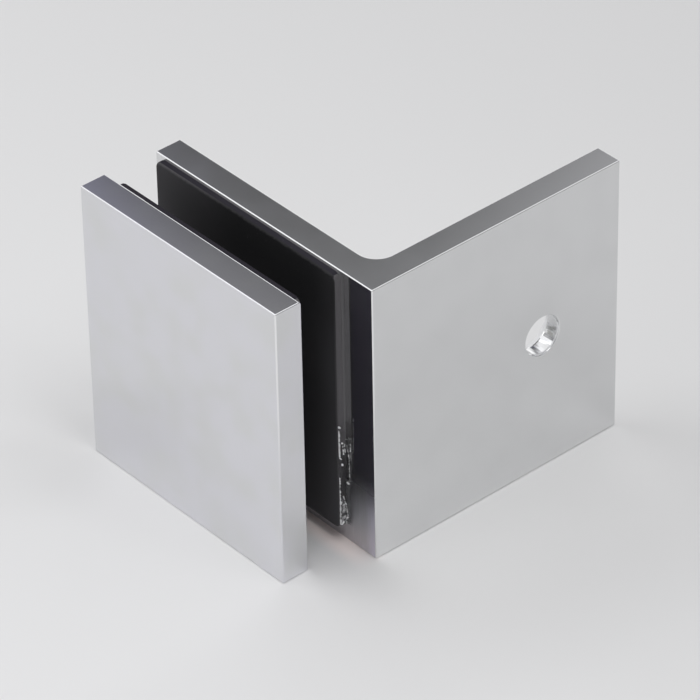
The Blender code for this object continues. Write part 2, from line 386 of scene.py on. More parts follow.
def adhesive_film(name, colours):
    """The grey adhesive between a pad and its metal face."""
    finish = Finish(name)
    cells = finish.cloud(finish.place(), 2400.0, detail=3.0, roughness=0.6)
    return finish.set(
        Base_Color=finish.between(cells, colours.film, colours.film_cell),
        Roughness=0.35 + cells * 0.2,
        Normal=finish.bump(cells, 0.03 * MM, strength=0.6),
    )


def clear_film(name, colours):
    """Loose clear film: glossy and creased, seen through, and milk-white where it is folded and crumpled;
    along the creases that white is partly painted glints.
    """
    finish = Finish(name)
    creases = finish.cloud(finish.place(), 2200.0, detail=3.0, roughness=0.6)
    marked = finish.add("ShaderNodeAttribute", {"attribute_name": "milk_and_glint"}, output="Fac")
    cover = finish.add("ShaderNodeAttribute", {"attribute_name": "cover"}, output="Fac")
    milk_and_glint = finish.range(marked * (0.62 + creases * 0.8), 0.2, 0.95)
    return finish.set(
        Base_Color=finish.between(milk_and_glint, colours.flat_film, colours.clear_film),
        Roughness=0.16 + milk_and_glint * 0.3,
        Alpha=cover + milk_and_glint * 0.8,
        Normal=finish.bump(creases, 0.06 * MM, strength=0.8),
    )


def bare_countersink(name, colours):
    """The wall hole's countersink, cut after plating: satin, pale, with the cutter's faint rings."""
    finish = Finish(name)
    rings = finish.cloud(finish.stretched(finish.place(), (5000.0, 300.0, 300.0)), 1.0)
    return finish.set(
        Base_Color=finish.between(rings, colours.countersink, colours.countersink_ring),
        Metallic=0.3,
        Roughness=0.42 + rings * 0.12,
        Normal=finish.bump(rings, 0.003 * MM, strength=0.5),
    )


def turned_steel(name, colours, centre):
    """Plain stainless steel with fine rings round the screw's axis."""
    finish = Finish(name)
    place = finish.place()
    about_axis = finish.stretched(place, (1.0, 0.0, 1.0), centre)
    rings = finish.add(
        "ShaderNodeTexWave",
        {"wave_type": "RINGS", "rings_direction": "SPHERICAL"},
        {"Vector": about_axis, "Scale": 900.0, "Distortion": 1.2, "Detail": 2.0, "Detail Scale": 2.0},
        output="Fac",
    )
    stain = finish.cloud(place, 500.0, detail=3.0)
    return finish.set(
        Base_Color=finish.between(stain, colours.steel, colours.steel_stain),
        Metallic=1.0,
        Roughness=0.24 + rings * 0.06 + stain * 0.08,
        Normal=finish.bump(rings, 0.004 * MM, strength=0.6),
    )


# Directions on the floor as the photograph shows it: to the right, away, and along its grading
# The last direction is that of the floor's painted falloff of light.
FLOOR_RIGHT, FLOOR_AWAY, FLOOR_FALLOFF = (0.65, 0.76, 0.0), (-0.76, 0.65, 0.0), (0.15, 0.99, 0.0)
# How pale the floor's darker places are, as shares of its own colour: its painted falloff of light and its
# painted shadows
GRADED_SHARE, SHADED_SHARE = 0.8, 0.68


def studio_floor(name, colours):
    """A pale matt floor: darker away from the plate's side as a painted falloff of light, with painted
    shadows in soft patches and warm painted light under the rear pad.
    """
    finish = Finish(name)
    place = finish.place()
    graded = [level * GRADED_SHARE for level in colours.floor]
    shaded = [level * SHADED_SHARE for level in colours.floor]
    # Painted falloff of light: the floor grows darker away from the plate's side.
    from_plate = finish.along(place, FLOOR_FALLOFF)
    paper = finish.between(finish.range(from_plate, -200 * MM, 200 * MM), colours.floor, graded)
    # Painted light: a warm, paler patch on the shaded floor under the rear pad.
    warm_light_under_pad = finish.patch(
        place,
        (TO_WALL, 2 * MM, -6 * MM), (TO_WALL, -55 * MM, -35 * MM),
        (TO_BACK, -29.5 * MM, -26.5 * MM), (TO_BACK, -22.5 * MM, -24.5 * MM),
    )
    paper = finish.between(warm_light_under_pad, paper, colours.painted_warm_light)
    # Painted shadows: soft darker patches on the floor beside the wall leg and beyond the plate's far end.
    shadow_along_wall = finish.patch(
        place, (TO_WALL, -8 * MM, 4 * MM), (TO_WALL, 45 * MM, 22 * MM), (TO_BACK, 50 * MM, 30 * MM),
    )
    shadow_along_wall = shadow_along_wall * finish.range(finish.along(place, TO_BACK), -45 * MM, 10 * MM, 0.3, 1.0)
    shadow_beyond_plate = finish.patch(
        place,
        (FLOOR_RIGHT, -57 * MM, -68 * MM), (FLOOR_RIGHT, -84 * MM, -75 * MM),
        (FLOOR_AWAY, 21 * MM, 11 * MM), (FLOOR_AWAY, -8 * MM, 6 * MM),
    )
    paper = finish.between(shadow_along_wall * 0.27 + shadow_beyond_plate * 0.2, paper, shaded)
    tone = finish.cloud(place, 3.0, detail=1.0)
    return finish.set(
        Base_Color=finish.between(tone * 0.1, paper, graded),
        Roughness=0.85,
        Specular_IOR_Level=0.2,
    )


# Shapes


def new_piece(name, bm, materials=()):
    """Turns a bmesh into an object at the origin, faces outwards, smooth up to its sharp edges."""
    bmesh.ops.recalc_face_normals(bm, faces=bm.faces)
    mesh = bpy.data.meshes.new(name)
    bm.to_mesh(mesh)
    bm.free()
    mesh.shade_smooth()
    mesh.set_sharp_from_angle(angle=SHARP_ANGLE)
    for material in materials:
        mesh.materials.append(material)
    piece = bpy.data.objects.new(name, mesh)
    bpy.context.scene.collection.objects.link(piece)
    return piece


def settle(piece):
    """Applies a piece's modifiers."""
    bpy.context.view_layer.update()
    graph = bpy.context.evaluated_depsgraph_get()
    made = bpy.data.meshes.new_from_object(piece.evaluated_get(graph), depsgraph=graph)
    before = piece.data
    piece.modifiers.clear()
    piece.data = made
    bpy.data.meshes.remove(before)
    made.name = piece.name


def shape_with(piece, tools):
    """Joins or cuts a piece with (operation, tool) pairs, and removes the tools."""
    for operation, tool in tools:
        modifier = piece.modifiers.new(tool.name, "BOOLEAN")
        modifier.operation = operation
        modifier.solver = "EXACT"
        modifier.object = tool
    settle(piece)
    for _, tool in tools:
        bpy.data.meshes.remove(tool.data)
    piece.data.shade_smooth()
    piece.data.set_sharp_from_angle(angle=SHARP_ANGLE)


def even_shading(piece):
    """Weights the normals by face, so that flat faces shade flat up to their rounded edges."""
    modifier = piece.modifiers.new("even shading", "WEIGHTED_NORMAL")
    modifier.keep_sharp = True
    settle(piece)


def finish_corner(piece):
    """Gives the rounding of the upright corner between the -Y and +X faces its own brighter chrome, a
    painted highlight.
    """
    for polygon in piece.data.polygons:
        across, front, rise = polygon.normal
        if across > 0.12 and front < -0.12 and abs(rise) < 0.2:
            polygon.material_index = CORNER_HIGHLIGHT


def dress(piece, body, slot, *nodes):
    """Puts a finished piece on its body and hides the CAD nodes that it stands for. The slot is not used.
    """
    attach(piece, body)
    if nodes:
        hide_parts(*nodes)


def bevel(bm, parts, offset, segments, affect="EDGES"):
    """Rounds edges or corners."""
    bmesh.ops.bevel(
        bm, geom=parts, offset=offset, offset_type="OFFSET", affect=affect,
        segments=segments, profile=0.5, material=-1, clamp_overlap=True,
    )


def sharp_edges(bm):
    """Lists the edges that are sharper than the smooth stretches."""
    return [edge for edge in bm.edges if edge.calc_face_angle(0.0) > SHARP_ANGLE]


def edges_at(bm, **place):
    """Lists the edges that lie where some of their coordinates are given."""
    return [
        edge for edge in bm.edges
        if all(
            abs(getattr(vert.co, axis) - at) < SAME_PLACE
            for vert in edge.verts for axis, at in place.items()
        )
    ]


def extruded(corners, step, corner_round=0.0):
    """Extrudes a flat outline, whose corners may be rounded first."""
    bm = bmesh.new()
    bm.faces.new([bm.verts.new(corner) for corner in corners])
    if corner_round:
        bevel(bm, bm.verts[:], corner_round, CORNER_STEPS, "VERTICES")
    raised = bmesh.ops.extrude_face_region(bm, geom=bm.faces[:])["geom"]
    top = [part for part in raised if isinstance(part, bmesh.types.BMVert)]
    bmesh.ops.translate(bm, vec=step, verts=top)
    bmesh.ops.recalc_face_normals(bm, faces=bm.faces)
    return bm


def slab(low, high, corner_round=0.0):
    """A slab that stands in the XZ plane, from its back at low.y to its face at high.y."""
    corners = [
        (low.x, low.y, low.z), (high.x, low.y, low.z), (high.x, low.y, high.z), (low.x, low.y, high.z),
    ]
    return extruded(corners, (0.0, high.y - low.y, 0.0), corner_round)


def turned(profile, steps=TURNED_STEPS):
    """Spins a profile of (radius, height) points, which starts and ends on the Z axis."""
    bm = bmesh.new()
    line = [bm.verts.new((radius, 0.0, height)) for radius, height in profile]
    edges = [bm.edges.new(pair) for pair in zip(line, line[1:])]
    bmesh.ops.spin(
        bm, geom=line + edges, cent=(0, 0, 0), axis=(0, 0, 1), dvec=(0, 0, 0),
        angle=math.tau, steps=steps, use_merge=True, use_duplicate=False,
    )
    bmesh.ops.remove_doubles(bm, verts=bm.verts, dist=MERGE_DISTANCE)
    bmesh.ops.recalc_face_normals(bm, faces=bm.faces)
    return bm


def aim(bm, axis, place):
    """Turns what was made along +Z to point along another axis, with its foot at a place."""
    turn = Vector((0, 0, 1)).rotation_difference(Vector(axis)).to_matrix()
    bmesh.ops.rotate(bm, cent=(0, 0, 0), matrix=turn, verts=bm.verts)
    bmesh.ops.translate(bm, vec=place, verts=bm.verts)
    return bm


# Where the profile of a rim turns in: beside the bore and in front of the face, in shares of its rounding
RIM_START = (1.8, -0.105)
# The bend from a bore to its countersink: outwards and along the bore, in shares of the rounding
THROAT_BEND = ((0.0, -1.0), (0.09, -0.42), (0.30, 0.05), (0.66, 0.50), (1.0, 1.0))
# Flutes that the drill left in the wall hole: number, strength and turn of each wave
FLUTES = ((38, 0.7, 0.0), (29, 0.3, 1.0), (13, 0.3, 2.0))
FLUTE_DEPTH = 0.013 * MM
FLUTE_FADE = 0.5 * MM


def rim(radius, rounding):
    """The profile of a rounded rim at height 0, from outside the solid to the bore."""
    outside, below = RIM_START
    start = radius + outside * rounding
    points = [(start, -OVERSHOOT), (start, below * rounding)]
    for i in range(1, RIM_STEPS + 1):
        turn = math.radians(90.0 * i / RIM_STEPS)
        points.append((radius + rounding * (1 - math.sin(turn)), rounding * (1 - math.cos(turn))))
    return points


def countersunk(radius, mouth, depth, rounding, bend):
    """The profile of a hole from its plain face at 0 to its countersunk face at depth."""
    throat = depth - (mouth - radius)
    return [
        (0.0, -OVERSHOOT),
        *rim(radius, rounding),
        *((radius + out * bend, throat + up * bend) for out, up in THROAT_BEND),
        (mouth + OVERSHOOT, depth + OVERSHOOT),
        (0.0, depth + OVERSHOOT),
    ]


def chattered_bore(sizes):
    """The wall hole's cutter: the drill left shallow flutes round its throat and countersink."""
    radius, depth = sizes.wall_hole / 2, sizes.leg_thickness
    profile = countersunk(radius, sizes.wall_countersink / 2, depth, sizes.rim_round, sizes.throat_round)
    bm = turned(profile, BORE_STEPS)
    start = sizes.rim_round * 0.9
    for vert in bm.verts:
        reach = math.hypot(vert.co.x, vert.co.y)
        if reach < 0.1 * MM or vert.co.z < start:
            continue
        turn = math.atan2(vert.co.y, vert.co.x)
        ripple = sum(strength * math.sin(count * turn + shift) for count, strength, shift in FLUTES)
        grown = 1.0 + ripple * FLUTE_DEPTH * min(1.0, (vert.co.z - start) / FLUTE_FADE) / reach
        vert.co.x *= grown
        vert.co.y *= grown
    return bm


# Pieces


def make_angle(sizes, colours):
    """The wall angle: an L with an inner fillet, the wall hole and two countersunk screw holes."""
    thick = sizes.leg_thickness
    left, right = ANGLE_LOW.x, ANGLE_HIGH.x
    front, end = ANGLE_LOW.y, ANGLE_HIGH.y
    low = ANGLE_LOW.z
    corners = [
        (left, front, low), (right, front, low), (right, end, low),
        (right - thick, end, low), (right - thick, front + thick, low), (left, front + thick, low),
    ]
    bm = extruded(corners, (0.0, 0.0, ANGLE_HIGH.z - low))
    bevel(bm, edges_at(bm, x=right - thick, y=front + thick), sizes.inner_fillet, FILLET_STEPS)
    bevel(bm, sharp_edges(bm), sizes.edge_round, METAL_EDGE_STEPS)
    angle = new_piece("angle_body", bm, [
        *chrome_finishes("angle", colours, colours.chrome),
        # Violet chrome on the leg's face beside the rear pad: a painted sheen.
        polished_chrome(
            "angle slot chrome", colours.slot_sheen_chrome, colours.chrome_haze,
            haze_share=0.2, streaked=colours.streaked_chrome,
        ),
        bare_countersink("bare countersink", colours),
    ])

    hole_y = end - sizes.wall_hole_from_end
    wall_hole = aim(chattered_bore(sizes), (-1, 0, 0), (right, hole_y, 0.0))
    tools = [("DIFFERENCE", new_piece("wall hole", wall_hole))]
    rounding = sizes.rim_round
    profile = countersunk(sizes.leg_bore / 2, sizes.screw_seat / 2, thick, rounding, 1.6 * rounding)
    for side, height in SCREW_HEIGHTS.items():
        hole = aim(turned(profile), (0, 1, 0), (SCREW_X, front, height))
        tools.append(("DIFFERENCE", new_piece(f"{side} screw hole", hole)))
    shape_with(angle, tools)
    finish_corner(angle)
    for polygon in angle.data.polygons:
        middle, normal = polygon.center, polygon.normal
        in_countersink = math.hypot(middle.y - hole_y, middle.z) < sizes.wall_countersink / 2
        # The leg's face beside the rear pad takes the violet chrome, a painted sheen.
        if normal.y < -0.99 and middle.y < front + 0.1 * MM:
            polygon.material_index = SLOT_CHROME
        elif in_countersink and normal.x < -0.3 and math.hypot(normal.y, normal.z) > 0.3:
            polygon.material_index = BARE_COUNTERSINK
    even_shading(angle)
    dress(angle, "angle", "angle_chrome", "wall_angle")


HALF_DRILL_POINT = math.radians(59.0)
BORE_CHAMFER = 0.2 * MM
# Where the end of a post bends, as a share of its edge's width
POST_EDGE_BEND = 0.3


def make_plate(sizes, colours):
    """The clamp plate with its two posts and their blind bores."""
    back = PLATE_LOW.y + sizes.plate_thickness
    bm = slab(PLATE_LOW, Vector((PLATE_HIGH.x, back, PLATE_HIGH.z)))
    bevel(bm, edges_at(bm, y=back, z=PLATE_HIGH.z), sizes.back_round, BACK_EDGE_STEPS)
    bevel(bm, sharp_edges(bm), sizes.edge_round, METAL_EDGE_STEPS)
    plate = new_piece("cover_plate", bm, chrome_finishes("plate", colours, colours.plate_chrome))

    reach = PLATE_HIGH.y - back
    radius, bore = sizes.post / 2, sizes.thread_bore / 2
    floor = sizes.bore_floor - sizes.plate_thickness
    drill_tip = bore / math.tan(HALF_DRILL_POINT)
    tools = []
    for side, height in SCREW_HEIGHTS.items():
        place = (SCREW_X, back, height)
        post = turned([
            (0.0, -sizes.plate_thickness / 2),
            (radius, -sizes.plate_thickness / 2),
            (radius, reach - sizes.post_edge),
            (radius - sizes.post_edge * POST_EDGE_BEND, reach - sizes.post_edge * POST_EDGE_BEND),
            (radius - sizes.post_edge, reach),
            (0.0, reach),
        ])
        tools.append(("UNION", new_piece(f"{side} post", aim(post, (0, 1, 0), place))))
        hole = turned([
            (0.0, floor),
            (bore, floor + drill_tip),
            (bore, reach - BORE_CHAMFER),
            (bore + BORE_CHAMFER + OVERSHOOT, reach + OVERSHOOT),
            (0.0, reach + OVERSHOOT),
        ])
        tools.append(("DIFFERENCE", new_piece(f"{side} bore", aim(hole, (0, 1, 0), place))))
    shape_with(plate, tools)
    finish_corner(plate)
    even_shading(plate)
    dress(plate, "clamp", "plate_chrome", "clamp_plate")


def holes_for_posts(sizes, low, high, clearance=0.0):
    """Cutters for the two holes of a pad or a film."""
    tools = []
    for side, height in SCREW_HEIGHTS.items():
        radius = sizes.pad_hole / 2 + clearance
        cutter = turned([
            (0.0, low.y - OVERSHOOT), (radius, low.y - OVERSHOOT),
            (radius, high.y + OVERSHOOT), (0.0, high.y + OVERSHOOT),
        ])
        place = (SCREW_X, 0.0, height)
        tools.append(("DIFFERENCE", new_piece(f"{side} post hole", aim(cutter, (0, 1, 0), place))))
    return tools


def make_pad(name, low, high, face_y, sizes, materials):
    """One rubber pad with two holes. Its end at the wall and its -Y face have their own finishes."""
    bm = slab(low, high, sizes.pad_corner)
    bevel(bm, edges_at(bm, y=face_y), sizes.pad_face_edge, PAD_FACE_EDGE_STEPS)
    bevel(bm, sharp_edges(bm), sizes.pad_edge, PAD_EDGE_STEPS)
    pad = new_piece(name, bm, materials)
    shape_with(pad, holes_for_posts(sizes, low, high))
    for polygon in pad.data.polygons:
        if polygon.normal.x > 0.6 and polygon.center.x > high.x - 1.0 * MM:
            polygon.material_index = PAD_CUT_END
        else:
            polygon.material_index = PAD_FACE if polygon.normal.y < -0.5 else PAD_SIDE
    even_shading(pad)
    return pad


def make_film(name, low, high, sizes, material):
    """One adhesive film, a little smaller than its pad."""
    inset = Vector((sizes.film_inset, 0.0, sizes.film_inset))
    bm = slab(low + inset, high - inset, sizes.pad_corner - sizes.film_inset)
    film = new_piece(name, bm, [material])
    shape_with(film, holes_for_posts(sizes, low, high, sizes.film_inset))
    return film


def make_pads(sizes, colours):
    """Both pads and the films that hold them."""
    plain, cut = pad_rubber("pad rubber", colours), cut_rubber("cut rubber", colours)
    # Rubber with painted light, for the rear pad's face.
    light_painted = pad_rubber("worn pad rubber", colours, light_painted=True)
    film = adhesive_film("adhesive film", colours)
    plate_back = PLATE_LOW.y + sizes.plate_thickness

    rear = make_pad("rear_gasket", REAR_LOW, REAR_HIGH, REAR_LOW.y, sizes, [plain, cut, light_painted])
    dress(rear, "angle", "rear_pad_rubber", "rear_pad")
    rear_film = make_film(
        "rear_film", Vector((REAR_LOW.x, REAR_HIGH.y, REAR_LOW.z)),
        Vector((REAR_HIGH.x, LEG_FRONT_Y, REAR_HIGH.z)), sizes, film,
    )
    dress(rear_film, "angle", "rear_pad_rubber")

    front = make_pad("front_gasket", FRONT_LOW, FRONT_HIGH, FRONT_HIGH.y, sizes, [plain, cut, plain])
    dress(front, "clamp", "front_pad_rubber", "front_pad")
    front_film = make_film(
        "front_film", Vector((FRONT_LOW.x, plate_back, FRONT_LOW.z)),
        Vector((FRONT_HIGH.x, FRONT_LOW.y, FRONT_HIGH.z)), sizes, film,
    )
    dress(front_film, "clamp", "front_pad_rubber")


# Creases of the loose film, milk-white partly as painted glints: two ends, half width and strength.
# An end is its distance from the pad's front edge and its height, in mm.
CREASES = (
    ((0.26, -2.75), (0.26, -2.95), 0.13, 1.70),
    ((0.24, -3.50), (0.24, -6.20), 0.10, 1.00),
    ((0.24, -6.20), (0.30, -8.40), 0.09, 1.10),
    ((0.30, -8.60), (0.56, -9.00), 0.10, 1.00),
    ((0.82, -6.00), (0.80, -6.15), 0.14, 1.15),
    ((0.96, -6.70), (1.06, -8.30), 0.11, 0.95),
    ((1.28, -6.50), (1.38, -8.10), 0.10, 0.80),
    ((0.76, -10.0), (0.78, -10.3), 0.13, 1.25),
    ((0.26, -12.4), (0.27, -15.8), 0.08, 0.90),
    ((0.26, -15.8), (0.24, -21.3), 0.08, 1.00),
    ((0.35, -21.2), (0.70, -20.95), 0.15, 1.25),
    ((0.70, -20.95), (1.60, -20.75), 0.09, 0.85),
    ((0.89, -16.2), (1.35, -18.0), 0.09, 0.85),
    ((1.35, -18.0), (1.86, -20.0), 0.09, 0.85),
    ((1.60, -20.7), (1.84, -20.3), 0.14, 1.20),
    ((1.90, -6.60), (2.36, -8.80), 0.10, 0.70),
    ((2.36, -8.80), (2.40, -13.4), 0.09, 0.64),
    ((1.66, -5.60), (2.60, -5.10), 0.10, 0.75),
    ((2.70, -5.20), (2.76, -9.00), 0.11, 0.60),
    ((1.96, -13.6), (2.18, -13.7), 0.16, 1.60),
)
# The loose film, in mm
FILM_TOP, FILM_BOTTOM, FILM_WIDTH = -2.4, -21.7, 3.1
FILM_THICKNESS = 0.02
FILM_GAP = 0.06
FILM_LEAST_GAP, FILM_MOST_LIFT = 0.03, 0.3
FILM_GRID = (60, 300)
# The milk-white of a crease, partly a painted glint, lies towards the plate beside the pad, and towards the
# wall over the chrome
SIDE_SHIFT, CHROME_SHIFT = 0.1, -0.08


def ramp(value, low, high):
    """Returns 0 at low, 1 at high and a smooth share between."""
    share = max(0.0, min(1.0, (value - low) / (high - low)))
    return share * share * (3.0 - 2.0 * share)


def crease_at(across, height):
    """Returns how strongly the creases mark a point of the loose film."""
    point = Vector((across, height))
    strongest = 0.0
    for start, stop, half_width, strength in CREASES:
        start, stop = Vector(start), Vector(stop)
        share = max(0.0, min(1.0, (point - start).dot(stop - start) / (stop - start).length_squared))
        away = (point - start.lerp(stop, share)).length / half_width
        strongest = max(strongest, strength * math.exp(-away * away))
    return strongest


def crumpled_foot(across, depth):
    """Returns how much a point belongs to the film's crumpled foot, which widens downwards."""
    width = 0.55 + 1.45 * ramp(depth, 15.4, 20.6)
    return ramp(depth, 15.6, 17.0) * (1.0 - ramp(across, width - 0.25, width))


def faint_veil(across, depth):
    """Returns the faint milkiness of the film's lower middle."""
    return 0.42 * ramp(depth, 11.0, 15.0) * ramp(across, 0.9, 1.5) * (1.0 - ramp(across, 2.2, FILM_WIDTH))


def make_loose_film(colours):
    """The creased clear film: along the rear pad's side, then folded out over the chrome."""
    side = (LEG_FRONT_Y - REAR_LOW.y) / MM
    bm = bmesh.new()
    bmesh.ops.create_grid(bm, x_segments=FILM_GRID[0], y_segments=FILM_GRID[1], size=0.5)
    milk_and_glint = bm.verts.layers.float.new("milk_and_glint")
    cover = bm.verts.layers.float.new("cover")
    for vert in bm.verts:
        across = (vert.co.x + 0.5) * FILM_WIDTH
        height = FILM_BOTTOM + (vert.co.y + 0.5) * (FILM_TOP - FILM_BOTTOM)
        coarse = noise.noise((height * 1.6, across * 1.6, 1.0))
        fine = coarse + 0.9 * noise.noise((height * 3.4, across * 3.4, 2.0))
        foot = crumpled_foot(across, -height)
        facing = crease_at(across + (SIDE_SHIFT if across < side else CHROME_SHIFT), height)
        # How milk-white a point is, partly as painted glints, how much it covers elsewhere, and how far it
        # stands off in mm
        marks = (facing * (0.95 + 0.45 * fine), foot * (0.50 + 0.20 * fine), faint_veil(across, -height))
        vert[milk_and_glint] = max(0.0, min(1.0, max(marks)))
        vert[cover] = 0.02 + 0.18 * ramp(-height, 6.5, 9.5) * (1.0 - ramp(across, side, FILM_WIDTH))
        stand = 0.06 + 0.26 * crease_at(across, height) + 0.07 * foot + 0.05 * fine
        if across < side:
            x = REAR_HIGH.x + max(FILM_LEAST_GAP, stand) * MM
            y = REAR_LOW.y + (across - FILM_GAP) * MM
        else:
            lift = min(FILM_MOST_LIFT, stand) * ramp(across, side, side + 0.3)
            x = REAR_HIGH.x + (FILM_GAP + across - side) * MM
            y = LEG_FRONT_Y - (FILM_GAP + lift) * MM
        vert.co = (x, y, height * MM)
    film = new_piece("loose_film", bm, [clear_film("clear film", colours)])
    skin = film.modifiers.new("thickness", "SOLIDIFY")
    skin.thickness = FILM_THICKNESS * MM
    skin.offset = 0.0
    settle(film)
    dress(film, "angle", "rear_pad_rubber")


# The screws' heads, necks, sockets and tips
HEAD_RIM = 0.3 * MM
HEAD_EDGE, HEAD_EDGE_BEND = 0.12 * MM, 0.03 * MM
NECK_START, NECK_END = 0.12 * MM, 0.05 * MM
TIP_CHAMFER = 0.75 * MM
SOCKET_CHAMFER = 0.2 * MM
# The groove of their thread, and how far it stays from the head and runs past the tip
FLANK_ANGLE = math.radians(30.0)
HALF_ROOT = 0.05 * MM
GROOVE_OVERSHOOT = 0.08 * MM
THREAD_FROM_HEAD, THREAD_PAST_TIP = 0.6 * MM, 0.7 * MM


def helix_groove(sizes, start, stop):
    """The cutter of a right-hand V groove along +Z."""
    crest = sizes.thread / 2
    root = crest - sizes.thread_depth
    outside = crest + GROOVE_OVERSHOOT
    half = HALF_ROOT + (outside - root) * math.tan(FLANK_ANGLE)
    bm = bmesh.new()
    face = bm.faces.new([
        bm.verts.new((outside, 0.0, start + half)),
        bm.verts.new((root, 0.0, start + HALF_ROOT)),
        bm.verts.new((root, 0.0, start - HALF_ROOT)),
        bm.verts.new((outside, 0.0, start - half)),
    ])
    count = int(round((stop - start) / sizes.pitch * THREAD_STEPS))
    bmesh.ops.spin(
        bm, geom=[face], cent=(0, 0, 0), axis=(0, 0, 1), dvec=(0, 0, sizes.pitch / THREAD_STEPS),
        angle=math.tau * count / THREAD_STEPS, steps=count, use_merge=False, use_duplicate=False,
    )
    bmesh.ops.remove_doubles(bm, verts=bm.verts, dist=MERGE_DISTANCE)
    return bm


def make_screws(sizes, colours):
    """The clamp screws: a turned countersunk head, a hexagon socket and a rolled thread."""
    crest = sizes.thread / 2
    corner = sizes.socket / 2 / math.cos(math.pi / 6)
    for side, (low, high) in SCREW_BOXES.items():
        head = (high.x - low.x) / 2
        reach = high.y - low.y
        under = HEAD_RIM + head - crest
        axis_foot = Vector((SCREW_X, high.y, SCREW_HEIGHTS[side]))
        bm = turned([
            (0.0, 0.0),
            (head - HEAD_EDGE, 0.0),
            (head - HEAD_EDGE_BEND, HEAD_EDGE_BEND),
            (head, HEAD_EDGE),
            (head, HEAD_RIM),
            (crest + NECK_START, under - NECK_START),
            (crest, under + NECK_END),
            (crest, reach - TIP_CHAMFER),
            (crest - TIP_CHAMFER, reach),
            (0.0, reach),
        ])
        screw = new_piece(f"{side}_socket_screw", aim(bm, (0, -1, 0), axis_foot), [
            turned_steel(f"{side} screw steel", colours, axis_foot),
        ])
        socket = turned([
            (0.0, -OVERSHOOT), (corner, -OVERSHOOT), (corner, sizes.socket_depth),
            (0.0, sizes.socket_depth + corner * math.tan(math.pi / 6)),
        ], steps=6)
        mouth = turned([
            (0.0, -SOCKET_CHAMFER), (corner + SOCKET_CHAMFER, -SOCKET_CHAMFER),
            (corner - SOCKET_CHAMFER, SOCKET_CHAMFER), (0.0, SOCKET_CHAMFER),
        ])
        groove = helix_groove(sizes, under + THREAD_FROM_HEAD, reach + THREAD_PAST_TIP)
        shape_with(screw, [
            ("DIFFERENCE", new_piece(f"{side} {name}", aim(tool, (0, -1, 0), axis_foot)))
            for name, tool in (("thread", groove), ("socket", socket), ("mouth", mouth))
        ])
        even_shading(screw)
        dress(screw, f"{side}_screw", "screw_steel", f"{side}_clamp_screw")


# Studio

# The camera, fitted to the photograph's straight edges
CAMERA_TARGET = Vector((0.0, -25 * MM, 0.0))
CAMERA_AZIMUTH = math.radians(49.351263)
CAMERA_ELEVATION = math.radians(36.315224)
CAMERA_ROLL = math.radians(-1.122710)
CAMERA_DISTANCE = 753.897 * MM
CAMERA_SIDE, CAMERA_RISE = -3.59 * MM, 11.57 * MM
CAMERA_LENS, CAMERA_SENSOR = 260.857, 36.0
CAMERA_CLIP = (0.01, 20.0)

# Soft lamps: name, azimuth, elevation, distance, width, height, power and colour
SOFTBOXES = (
    ("left front softbox", -46.0, 32.0, 1.3, 1.5, 1.0, 4.3, (0.985, 0.985, 1.0)),
    ("right front softbox", 88.0, 66.0, 0.7, 0.3, 0.3, 0.84, (1.0, 1.0, 1.0)),
)

# The sky. Heights go from 0 at the horizon to 1 overhead. The pale horizon fades into the dim middle
# between the first two.
FADE_START, FADE_END = 0.18, 0.40
MIDDLE_LEVEL, OVERHEAD_LEVEL, BACKDROP_LEVEL = 0.30, 0.72, 0.6
MIDDLE_BLUE, VIOLET_BLUE = 1.03, 0.9

FLOOR_SIZE = 6.0
FLOOR_GAP = 0.01 * MM


def view_axes(azimuth, elevation, roll=0.0):
    """Returns right, up and back of a camera that looks at the object."""
    sin_a, cos_a = math.sin(azimuth), math.cos(azimuth)
    back = Vector((sin_a * math.cos(elevation), -cos_a * math.cos(elevation), math.sin(elevation)))
    right = Vector((cos_a, sin_a, 0.0))
    up = back.cross(right)
    turned_right = math.cos(roll) * right + math.sin(roll) * up
    return turned_right, math.cos(roll) * up - math.sin(roll) * right, back


def place_looking(thing, place, right, up, back):
    """Puts a lamp or a camera somewhere, looking against its back direction."""
    thing.matrix_world = Matrix.Translation(place) @ Matrix((right, up, back)).transposed().to_4x4()


def softbox(name, azimuth, elevation, distance, width, height, power, tint):
    """Adds a soft rectangular lamp that lights the object but doesn't show behind it."""
    lamp = bpy.data.lights.new(name, "AREA")
    lamp.shape = "RECTANGLE"
    lamp.size, lamp.size_y = width, height
    lamp.energy = power
    lamp.color = tint
    held = bpy.data.objects.new(name, lamp)
    held.visible_camera = False
    bpy.context.scene.collection.objects.link(held)
    right, up, back = view_axes(math.radians(azimuth), math.radians(elevation))
    place_looking(held, back * distance, right, up, back)


